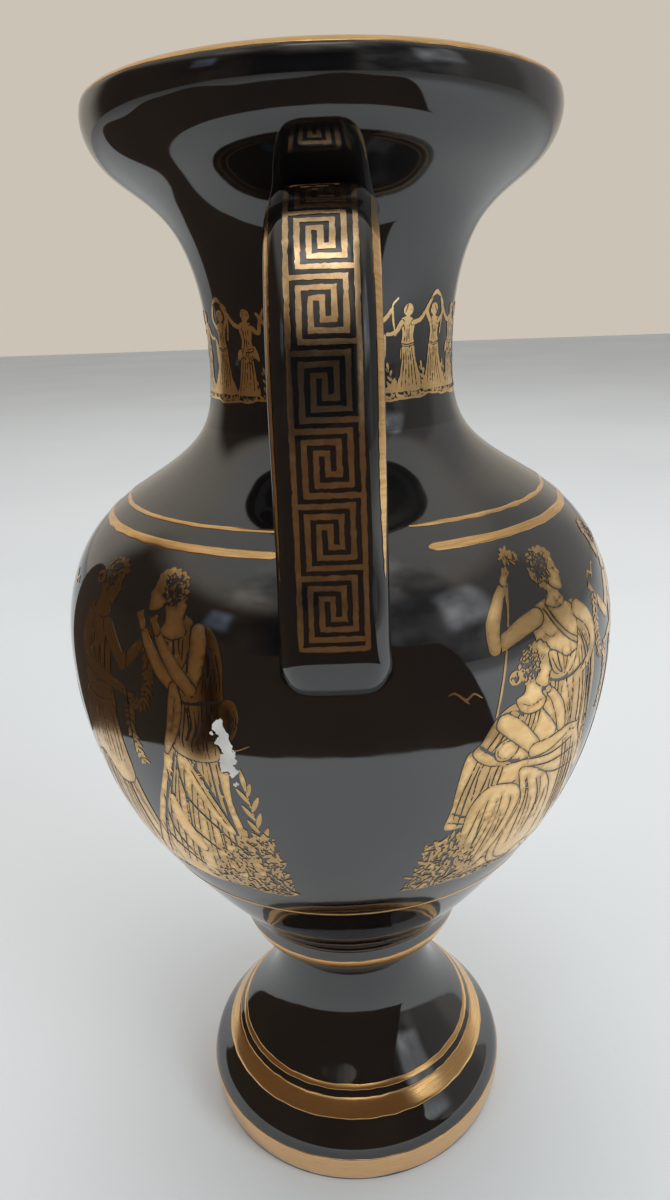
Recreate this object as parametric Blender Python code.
"""Neck amphora: a tall two-handled ceramic vase with a cup mouth and a bell foot.

The vessel is made the way a potter makes it: body, neck with mouth, and foot are turned separately, two strap
handles are pulled, and all of them are luted together. Each section is its own closed solid with a seam of
0.3 mm to its neighbours. Metres, +Z up. The origin is the centre of the resting ring on the ground plane, the
handles lie on +X and -X and the picture panels face -Y and +Y.
"""
import math

import bpy
import bmesh
import numpy as np

MM = 0.001
SEAM = 0.3          # luting seam between two sections, mm
SEGMENTS = 48       # facets round the turned sections

# --- turned outer profile, (height, radius) in mm at the points a potter would take with callipers ---------------
FOOT_HEIGHT = 58.7
WAIST_RADIUS = 25.0
NECK_SEAM_HEIGHT = 240.0
TOTAL_HEIGHT = 320.0

FOOT_STATIONS = [
    (0.0, 52.2),                    # edge of the resting ring
    (5.0, 53.0),                    # base band, slightly proud
    (9.8, 53.0),                    # upper edge of the base band
    (13.4, 51.9),                   # rounded bead
    (17.4, 48.9),                   # shoulder of the bead
    (22.2, 45.0),                   # thick gilt ring
    (28.8, 39.0),                   # bell
    (36.0, 32.6),
    (45.0, 27.8),
    (FOOT_HEIGHT, WAIST_RADIUS),    # waist
]
VESSEL_STATIONS = [
    (FOOT_HEIGHT + SEAM, WAIST_RADIUS),
    (64.0, 28.2),                   # undercut below the collar
    (69.0, 33.6),
    (74.0, 36.6),                   # collar with its gilt line
    (80.0, 38.2),
    (92.0, 46.2),                   # lower wall
    (106.0, 56.2),
    (124.0, 67.6),
    (147.0, 76.9),
    (173.0, 81.1),                  # belly
    (194.0, 79.5),
    (210.0, 72.4),                  # shoulder
    (222.0, 59.2),
    (231.0, 45.2),
    (NECK_SEAM_HEIGHT, 37.0),       # root of the neck
    (252.0, 34.3),
    (266.0, 34.4),                  # throat
    (281.0, 37.0),
    (292.0, 42.2),                  # flare
    (299.0, 49.6),
    (305.0, 57.0),                  # cup
    (311.0, 60.6),
    (316.5, 61.2),                  # lip, widest
    (TOTAL_HEIGHT, 60.2),           # rim
]

# --- walls ----------------------------------------------------------------------------------------------------
BODY_WALL = 5.0
NECK_WALL = 4.6
LIP_WALL = 4.4
FLOOR_HEIGHT = 66.5       # inside floor of the body
FOOT_WALL = 7.5
FOOT_HOLLOW_HEIGHT = 49.5  # crown of the hollow under the foot

# --- strap handle ---------------------------------------------------------------------------------------------
STRAP_WIDTH = 24.0
STRAP_THICKNESS = 9.5
STRAP_LINE = [            # centre line of the strap, (distance from the axis, height) in mm
    (36.0, 291.5),        # inside the flare, trimmed to it below
    (49.6, 290.6),        # leaves the neck level, just under the cup
    (61.5, 284.9),
    (68.8, 274.3),        # elbow
    (73.7, 260.6),
    (76.1, 245.5),
    (77.1, 230.6),        # nearly straight drop
    (78.9, 215.5),
    (81.8, 201.5),        # swings out over the shoulder
    (82.0, 196.0),
    (79.6, 190.3),        # turns in to the body
    (74.5, 186.5),        # inside the wall, trimmed to it below
]
STRAP_RINGS = 22          # sections along the strap
FILLET_SPREAD = 3.2       # how far the smeared clay spreads at each root


def clear_scene():
    for obj in list(bpy.data.objects):
        bpy.data.objects.remove(obj, do_unlink=True)


def smooth_curve(stations):
    """Natural cubic spline through 2-D stations, parametrised by chord length. Returns (function, length)."""
    pts = np.array(stations, float)
    t = np.concatenate([[0.0], np.cumsum(np.hypot(*np.diff(pts, axis=0).T))])
    n = len(pts)
    h = np.diff(t)
    mat = np.zeros((n, n))
    rhs = np.zeros((n, 2))
    mat[0, 0] = mat[-1, -1] = 1.0
    for i in range(1, n - 1):
        mat[i, i - 1:i + 2] = h[i - 1], 2.0 * (h[i - 1] + h[i]), h[i]
        rhs[i] = 6.0 * ((pts[i + 1] - pts[i]) / h[i] - (pts[i] - pts[i - 1]) / h[i - 1])
    m = np.linalg.solve(mat, rhs)

    def curve(u):
        u = np.atleast_1d(np.asarray(u, float))
        i = np.clip(np.searchsorted(t, u) - 1, 0, n - 2)
        a, c, hh = (t[i + 1] - u)[:, None], (u - t[i])[:, None], h[i][:, None]
        return (m[i] * a ** 3 + m[i + 1] * c ** 3) / (6 * hh) \
            + (pts[i] / hh - m[i] * hh / 6) * a + (pts[i + 1] / hh - m[i + 1] * hh / 6) * c
    return curve, t[-1]


def dense_profile(stations, count=900):
    curve, length = smooth_curve(stations)
    return curve(np.linspace(0.0, length, count))


FOOT_DENSE = dense_profile(FOOT_STATIONS)
VESSEL_DENSE = dense_profile(VESSEL_STATIONS)


def outer_rings(dense, low, high, count):
    """(height, radius) of rings between two heights, closer together where the wall turns."""
    z = dense[:, 0]
    sel = dense[(z >= low - 1e-6) & (z <= high + 1e-6)]
    seg = np.diff(sel, axis=0)
    step = np.hypot(seg[:, 0], seg[:, 1])
    ang = np.unwrap(np.arctan2(seg[:, 1], seg[:, 0]))
    turn = np.abs(np.gradient(ang))
    weight = step / step.sum() + 0.9 * turn / max(turn.sum(), 1e-9)
    cum = np.concatenate([[0.0], np.cumsum(weight)])
    cum /= cum[-1]
    u = np.linspace(0.0, 1.0, count)
    return [(float(np.interp(v, cum, sel[:, 0])), float(np.interp(v, cum, sel[:, 1]))) for v in u]


def radius_at(dense, height):
    return float(np.interp(height, dense[:, 0], dense[:, 1]))


def inner_rings(dense, low, high, count, wall):
    """Rings of the inside wall, offset square to the outer surface."""
    z, r = dense[:, 0], dense[:, 1]
    dz, dr = np.gradient(z), np.gradient(r)
    ln = np.hypot(dz, dr)
    zi = z + wall * dr / ln
    ri = r - wall * dz / ln
    keep = [0]
    for i in range(1, len(zi)):
        if zi[i] > zi[keep[-1]] + 1e-4:
            keep.append(i)
    zi, ri = zi[keep], ri[keep]
    return [(float(v), float(np.interp(v, zi, ri))) for v in np.linspace(low, high, count)]


def material(name, colour, roughness, metallic=0.0):
    mat = bpy.data.materials.new(name)
    mat.use_nodes = True
    bsdf = mat.node_tree.nodes["Principled BSDF"]
    bsdf.inputs["Base Color"].default_value = (*colour, 1.0)
    bsdf.inputs["Roughness"].default_value = roughness
    bsdf.inputs["Metallic"].default_value = metallic
    mat.diffuse_color = (*colour, 1.0)
    return mat


def finish_mesh(obj, angle=30.0):
    me = obj.data
    me.shade_smooth()
    me.set_sharp_from_angle(angle=math.radians(angle))


def turned(name, outline, mat=None, segments=SEGMENTS):
    """Solid of revolution: a closed (height, radius) outline in mm, walked up the outside and down the inside.

    An outline that starts and ends on the axis closes with a fan there, any other closes on itself."""
    bm = bmesh.new()
    rings = []
    for z, r in outline:
        if r < 1e-6:
            rings.append([bm.verts.new((0.0, 0.0, z * MM))])
            continue
        rings.append([bm.verts.new((r * MM * math.cos(2 * math.pi * k / segments),
                                    r * MM * math.sin(2 * math.pi * k / segments), z * MM))
                      for k in range(segments)])
    closed = len(rings[0]) > 1 and len(rings[-1]) > 1
    pairs = list(zip(rings, rings[1:])) + ([(rings[-1], rings[0])] if closed else [])
    for low, high in pairs:
        for k in range(segments):
            k2 = (k + 1) % segments
            if len(low) == 1:
                bm.faces.new((low[0], high[k2], high[k]))
            elif len(high) == 1:
                bm.faces.new((low[k], low[k2], high[0]))
            else:
                bm.faces.new((low[k], low[k2], high[k2], high[k]))
    me = bpy.data.meshes.new(name)
    bm.to_mesh(me)
    bm.free()
    obj = bpy.data.objects.new(name, me)
    bpy.context.scene.collection.objects.link(obj)
    if mat:
        me.materials.append(mat)
    finish_mesh(obj)
    return obj


def strap_section(half_width, half_thick):
    """Cross-section of the strap as (across, outward): crowned face, bevelled shoulders, rounded edges."""
    w, t = half_width, half_thick
    right = [(0.0, t), (0.58 * w, 0.93 * t), (0.84 * w, 0.58 * t), (1.0 * w, 0.02 * t),
             (0.90 * w, -0.66 * t), (0.55 * w, -0.96 * t), (0.0, -t)]
    left = [(-x, y) for x, y in right[1:-1]]
    return right + left[::-1]


def strap(name, side, mat, cutter_neck, cutter_body):
    """Pulled handle: the section is carried along the centre line, spread at both roots, then trimmed."""
    curve, length = smooth_curve(STRAP_LINE)
    bm = bmesh.new()
    rings = []
    for i in range(STRAP_RINGS):
        u = length * i / (STRAP_RINGS - 1)
        p = curve(u)[0]
        e = length * 1e-4
        q0, q1 = curve(max(u - e, 0.0))[0], curve(min(u + e, length))[0]
        tx, tz = (q1 - q0) / np.linalg.norm(q1 - q0)
        nx, nz = -tz, tx                                   # outward normal of the strap
        top = math.exp(-((u - 12.0) / 5.0) ** 2) if u > 12.0 else 1.0
        low = math.exp(-((length - 6.0 - u) / 5.0) ** 2) if u < length - 6.0 else 1.0
        spread = FILLET_SPREAD * max(top, low)
        ring = []
        for x, y in strap_section(STRAP_WIDTH / 2 + spread, STRAP_THICKNESS / 2 + 0.45 * spread):
            ring.append(bm.verts.new((side * (p[0] + nx * y) * MM, side * x * MM, (p[1] + nz * y) * MM)))
        rings.append(ring)
    n = len(rings[0])
    for a, b in zip(rings, rings[1:]):
        for k in range(n):
            bm.faces.new((a[k], a[(k + 1) % n], b[(k + 1) % n], b[k]))
    bm.faces.new(rings[0][::-1])
    bm.faces.new(rings[-1])
    bmesh.ops.recalc_face_normals(bm, faces=bm.faces)
    me = bpy.data.meshes.new(name)
    bm.to_mesh(me)
    bm.free()
    obj = bpy.data.objects.new(name, me)
    bpy.context.scene.collection.objects.link(obj)
    me.materials.append(mat)
    finish_mesh(obj, 40.0)
    for cutter in (cutter_neck, cutter_body):
        mod = obj.modifiers.new("trim_" + cutter.name, "BOOLEAN")
        mod.operation = "DIFFERENCE"
        mod.solver = "EXACT"
        mod.object = cutter
    return obj


def hide_cutter(obj):
    obj.hide_render = True
    obj.display_type = "WIRE"


def main():
    clear_scene()
    black_glaze = material("black_glaze", (0.012, 0.012, 0.014), 0.06)
    biscuit = material("black_glaze_foot", (0.014, 0.013, 0.014), 0.08)
    neck_glaze = material("black_glaze_neck", (0.012, 0.012, 0.013), 0.06)
    strap_right = material("black_glaze_gilt_right", (0.05, 0.035, 0.02), 0.12)
    strap_left = material("black_glaze_gilt_left", (0.05, 0.035, 0.02), 0.12)

    # Foot: bell outside, hollow inside, flat resting ring, flat seat for the body on top.
    outer = outer_rings(FOOT_DENSE, 0.0, FOOT_HEIGHT, 15)
    hollow = inner_rings(FOOT_DENSE, 0.0, FOOT_HOLLOW_HEIGHT - 7.5, 8, FOOT_WALL)
    crown = [(FOOT_HOLLOW_HEIGHT, 0.0), (FOOT_HOLLOW_HEIGHT - 2.0, 0.6 * hollow[-1][1])]
    foot_outline = crown + hollow[::-1] + outer + [(FOOT_HEIGHT, 0.0)]
    turned("pedestal_foot", foot_outline, biscuit)

    # Body: flat seat on the foot, outer wall up to the root of the neck, inner wall down to a dished floor.
    outer = outer_rings(VESSEL_DENSE, FOOT_HEIGHT + SEAM, NECK_SEAM_HEIGHT, 24)
    inner = inner_rings(VESSEL_DENSE, FLOOR_HEIGHT + 6.0, NECK_SEAM_HEIGHT, 14, BODY_WALL)
    inner = [(FLOOR_HEIGHT, 0.0), (FLOOR_HEIGHT + 0.6, inner[0][1] * 0.45), (FLOOR_HEIGHT + 2.4, inner[0][1] * 0.8)] \
        + inner
    body_outline = [(FOOT_HEIGHT + SEAM, 0.0)] + outer + inner[::-1]
    turned("body_shell", body_outline, black_glaze)

    # Neck and mouth: flat seam ring at the root, flare, cup and rounded lip.
    outer = outer_rings(VESSEL_DENSE, NECK_SEAM_HEIGHT + SEAM, TOTAL_HEIGHT - 1.2, 18)
    inner = inner_rings(VESSEL_DENSE, NECK_SEAM_HEIGHT + SEAM, TOTAL_HEIGHT - 2.0, 12, NECK_WALL)
    rim_r = radius_at(VESSEL_DENSE, TOTAL_HEIGHT)
    lip = [(TOTAL_HEIGHT - 0.3, rim_r - 0.7), (TOTAL_HEIGHT, rim_r - 1.7), (TOTAL_HEIGHT, rim_r - LIP_WALL + 1.6),
           (TOTAL_HEIGHT - 0.5, rim_r - LIP_WALL + 0.6)]
    turned("neck_and_mouth", outer + lip + inner[::-1], neck_glaze)

    # Handles, trimmed to the walls they are luted on with the same seam.
    grown = VESSEL_DENSE.copy()
    dz, dr = np.gradient(grown[:, 0]), np.gradient(grown[:, 1])
    ln = np.hypot(dz, dr)
    grown = np.stack([grown[:, 0] - SEAM * dr / ln, grown[:, 1] + SEAM * dz / ln], -1)
    grown = grown[np.concatenate([[True], np.diff(grown[:, 0]) > 1e-4])]
    neck_cut = [(262.0, 0.0)] + outer_rings(grown, 262.0, 312.0, 22) + [(312.0, 0.0)]
    body_cut = [(170.0, 0.0)] + outer_rings(grown, 170.0, 236.0, 22) + [(236.0, 0.0)]
    cutter_neck = turned("trim_neck", neck_cut, segments=2 * SEGMENTS)
    cutter_body = turned("trim_body", body_cut, segments=2 * SEGMENTS)
    hide_cutter(cutter_neck)
    hide_cutter(cutter_body)
    strap("handle_right", 1.0, strap_right, cutter_neck, cutter_body)
    strap("handle_left", -1.0, strap_left, cutter_neck, cutter_body)

    # One empty carries the whole vase.
    root = bpy.data.objects.new("amphora", None)
    bpy.context.scene.collection.objects.link(root)
    for name in ("pedestal_foot", "body_shell", "neck_and_mouth", "handle_right", "handle_left"):
        bpy.data.objects[name].parent = root


main()
